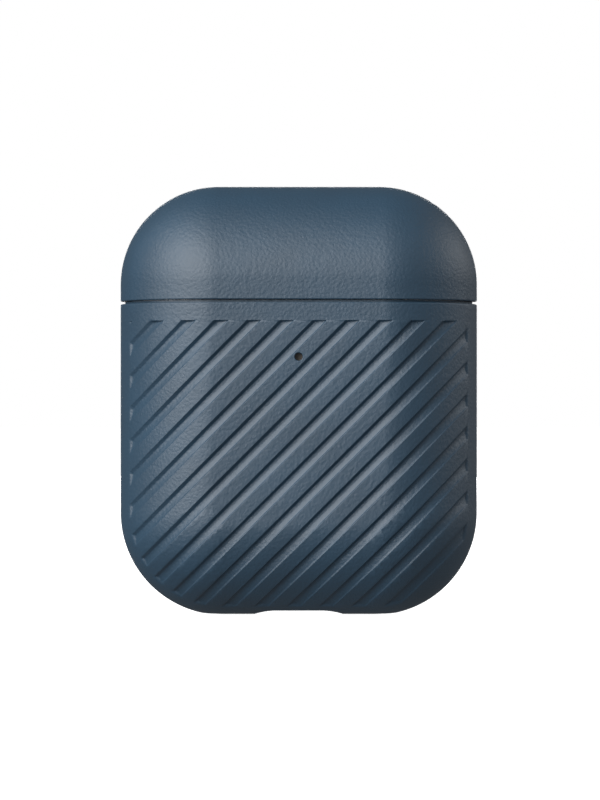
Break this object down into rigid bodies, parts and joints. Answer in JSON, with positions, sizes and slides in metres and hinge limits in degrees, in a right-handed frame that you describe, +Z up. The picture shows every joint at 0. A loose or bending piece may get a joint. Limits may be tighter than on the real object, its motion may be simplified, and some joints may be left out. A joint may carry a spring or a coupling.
{
  "type": "wireless earbuds charging case",
  "caption": "Pebble-shaped earbuds charging case with a rear-hinged lid, in a two-piece moulded sleeve with slanting grip grooves.",
  "frame": {"origin": "centre of the sleeve's flat foot, on the surface that the case stands on", "axes": "+Z up, -Y towards the front with the status light, +X to the right as seen from the front"},
  "size_m": [0.0468, 0.024, 0.0561],
  "materials": {
    "blue_silicone": "matte moulded silicone with a fine leather grain",
    "adhesive_foam": "thin black foam tape",
    "white_shell": "gloss injection-moulded polycarbonate",
    "white_liner": "satin moulded polycarbonate",
    "hinge_steel": "satin stainless steel",
    "spring_steel": "bright spring steel",
    "screw_steel": "blackened steel",
    "battery_pouch": "foil-wrapped cell",
    "circuit_board": "green solder mask",
    "chip_epoxy": "black epoxy",
    "port_steel": "drawn steel shell",
    "gold_plate": "gold-plated brass",
    "copper_coil": "varnished copper wire",
    "ferrite": "sintered ferrite sheet",
    "lens_resin": "frosted diffusing resin",
    "led_package": "white package on its small board",
    "polyimide": "amber polyimide film",
    "magnet_nickel": "nickel-plated magnet"
  },
  "bodies": {
    "sleeve_body": {"sleeve_body": "blue_silicone"},
    "base": {"base_shell": "white_shell", "cradle": "white_liner", "hinge_base_leaf": "hinge_steel", "hinge_pin": "hinge_steel", "hinge_springs": "spring_steel", "hinge_base_screws": "screw_steel", "battery_cell": "battery_pouch", "battery_foam": "adhesive_foam", "charge_board": "circuit_board", "board_chips": "chip_epoxy", "board_screws": "screw_steel", "charge_port_shell": "port_steel", "charge_port_tongue": "chip_epoxy", "charge_port_pads": "gold_plate", "charging_coil": "copper_coil", "ferrite_sheet": "ferrite", "button_dome": "spring_steel", "button_board": "circuit_board", "status_lens": "lens_resin", "status_led": "led_package", "flex_cables": "polyimide", "lid_sensor": "chip_epoxy", "base_latch_magnet": "magnet_nickel", "well_magnets": "magnet_nickel", "contact_blocks": "chip_epoxy"},
    "lid": {"lid_shell": "white_shell", "lid_liner": "white_liner", "hinge_lid_leaf": "hinge_steel", "hinge_lid_screws": "screw_steel", "lid_latch_magnet": "magnet_nickel"},
    "sleeve_lid": {"sleeve_lid": "blue_silicone", "lid_grip_strips": "adhesive_foam"},
    "button": {"setup_button": "white_shell"},
    "left_contacts": {"left_contact_pins": "gold_plate"},
    "right_contacts": {"right_contact_pins": "gold_plate"}
  },
  "joints": [
    {"name": "case_lift", "type": "slide", "parent": "sleeve_body", "child": "base", "axis": [0, 0, 1], "range_m": [0, 0.04]},
    {"name": "lid_hinge", "type": "hinge", "parent": "base", "child": "lid", "pos_m": [0, 0.01025, 0.0408], "axis": [-1, 0, 0], "range_deg": [0, 100]},
    {"name": "cover_lift", "type": "slide", "parent": "lid", "child": "sleeve_lid", "axis": [0, 0, 1], "range_m": [0, 0.015]},
    {"name": "button_press", "type": "slide", "parent": "base", "child": "button", "axis": [0, -1, 0], "range_m": [0, 0.0004], "stiffness_N_per_m": 3000},
    {"name": "left_contact_press", "type": "slide", "parent": "base", "child": "left_contacts", "axis": [0, 0, -1], "range_m": [0, 0.00045], "stiffness_N_per_m": 500},
    {"name": "right_contact_press", "type": "slide", "parent": "base", "child": "right_contacts", "axis": [0, 0, -1], "range_m": [0, 0.00045], "stiffness_N_per_m": 500}
  ]
}
